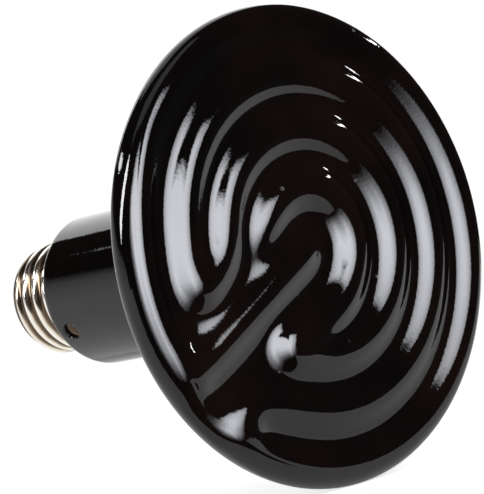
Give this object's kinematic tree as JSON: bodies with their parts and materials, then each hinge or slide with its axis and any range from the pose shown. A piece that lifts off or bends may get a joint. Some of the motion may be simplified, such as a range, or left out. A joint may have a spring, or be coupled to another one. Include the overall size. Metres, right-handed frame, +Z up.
{
  "type": "ceramic heat emitter",
  "caption": "Black glazed ceramic heat emitter: a round disc with a maze-like raised ridge on its face, a hollow neck with vent holes and an Edison screw cap.",
  "frame": {"origin": "centre of the flat end of the solder on the cap's centre contact, on the emitter's axis", "axes": "The axis lies level along Y. The heated face looks along -Y and the screw cap points along +Y. +Z is up across the disc, and the coil's spoke runs down to the lower left of the face."},
  "size_m": [0.105, 0.0996, 0.105],
  "materials": {
    "black_glaze": "glossy black glaze on fired stoneware",
    "nickel_plate": "bright nickel plate on drawn sheet",
    "cement": "matt lamp cement",
    "insulator_glass": "black moulded glass insulator",
    "contact_brass": "pressed brass",
    "solder": "dull solder",
    "lead_nickel": "drawn nickel wire",
    "white_ceramic": "unglazed white ceramic"
  },
  "bodies": {
    "root": {"ceramic_body": "black_glaze", "screw_shell": "nickel_plate", "cap_cement": "cement", "cap_insulator": "insulator_glass", "centre_contact": "contact_brass", "contact_solder": "solder", "lead_centre": "lead_nickel", "lead_side": "lead_nickel", "lead_sleeve_centre": "white_ceramic", "lead_sleeve_side": "white_ceramic", "side_weld": "solder"}
  },
  "joints": []
}
